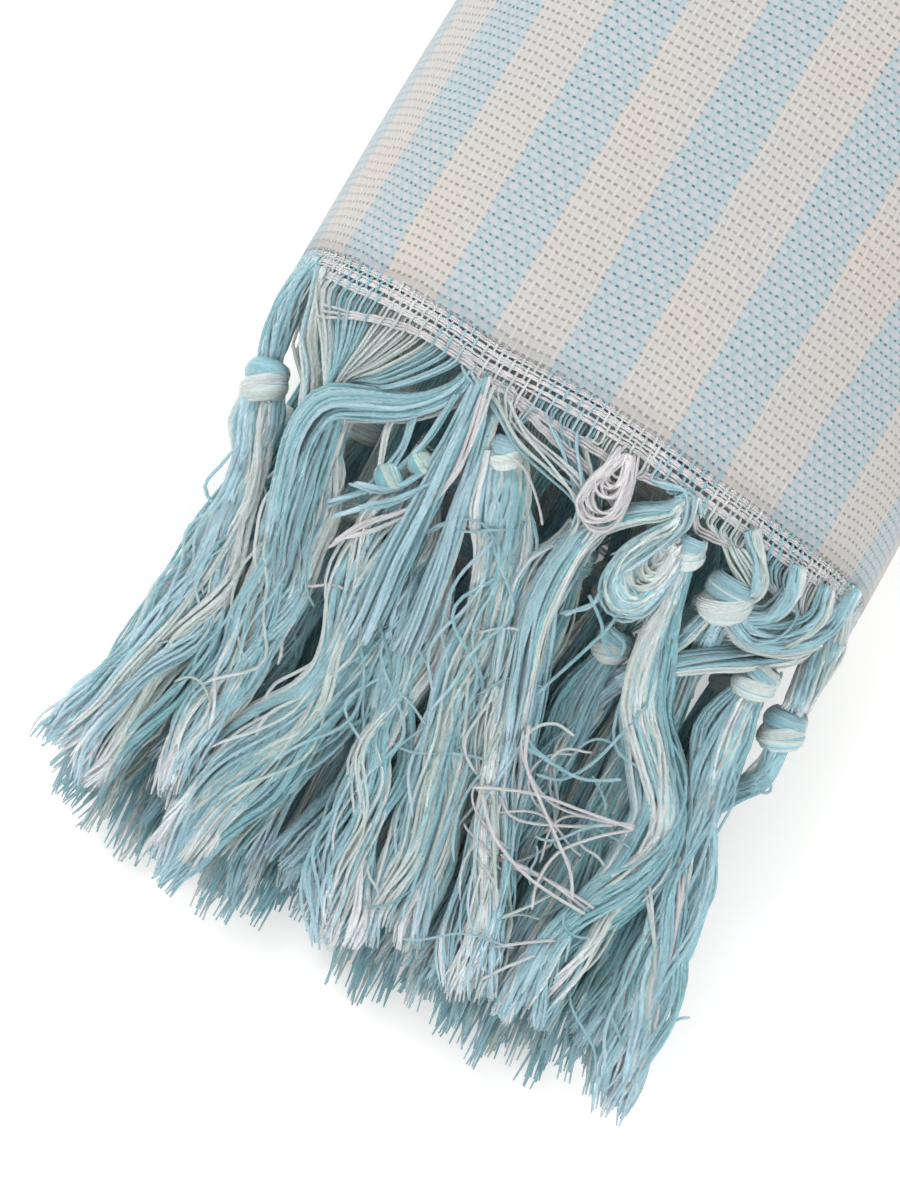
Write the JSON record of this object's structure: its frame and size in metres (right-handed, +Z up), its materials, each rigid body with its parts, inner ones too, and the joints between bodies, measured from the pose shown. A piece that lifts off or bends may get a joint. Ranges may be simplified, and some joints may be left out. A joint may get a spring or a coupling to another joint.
{
  "type": "rolled fouta towel",
  "caption": "Striped flat-woven cotton towel, folded and rolled up, lying with its raw hem and its knotted fringe of loose tassels at one end.",
  "frame": {"origin": "under the middle of the whole part, on the surface that it lies on", "axes": "+Y along the roll from the fringe to the folded end, +X across it, to the right when seen from the fringe, +Z up"},
  "size_m": [0.1264, 0.5474, 0.0751],
  "materials": {
    "woven_cotton": "matt open plain weave in aqua and cream stripes",
    "fringe_cotton": "loosely twisted aqua and cream cotton threads"
  },
  "bodies": {
    "root": {"outer_turn": "woven_cotton", "rolled_layers": "woven_cotton", "tassel_1_1": "fringe_cotton", "tassel_1_2": "fringe_cotton", "tassel_1_3": "fringe_cotton", "tassel_1_4": "fringe_cotton", "tassel_1_5": "fringe_cotton", "tassel_1_6": "fringe_cotton", "tassel_1_7": "fringe_cotton", "tassel_1_8": "fringe_cotton", "tassel_1_9": "fringe_cotton", "tassel_1_10": "fringe_cotton", "tassel_2_1": "fringe_cotton", "tassel_2_2": "fringe_cotton", "tassel_2_3": "fringe_cotton", "tassel_2_4": "fringe_cotton", "tassel_2_5": "fringe_cotton", "tassel_2_6": "fringe_cotton", "tassel_2_7": "fringe_cotton", "tassel_2_8": "fringe_cotton", "tassel_3_1": "fringe_cotton", "tassel_3_2": "fringe_cotton", "tassel_3_3": "fringe_cotton", "tassel_3_4": "fringe_cotton", "tassel_3_5": "fringe_cotton", "tassel_3_6": "fringe_cotton", "tassel_3_7": "fringe_cotton", "tassel_3_8": "fringe_cotton", "tassel_4_1": "fringe_cotton", "tassel_4_2": "fringe_cotton", "tassel_4_3": "fringe_cotton", "tassel_4_4": "fringe_cotton", "tassel_4_5": "fringe_cotton", "tassel_4_6": "fringe_cotton", "tassel_4_7": "fringe_cotton", "tassel_5_1": "fringe_cotton", "tassel_5_2": "fringe_cotton", "tassel_5_3": "fringe_cotton", "tassel_5_4": "fringe_cotton", "tassel_5_5": "fringe_cotton", "tassel_5_6": "fringe_cotton"}
  },
  "joints": []
}
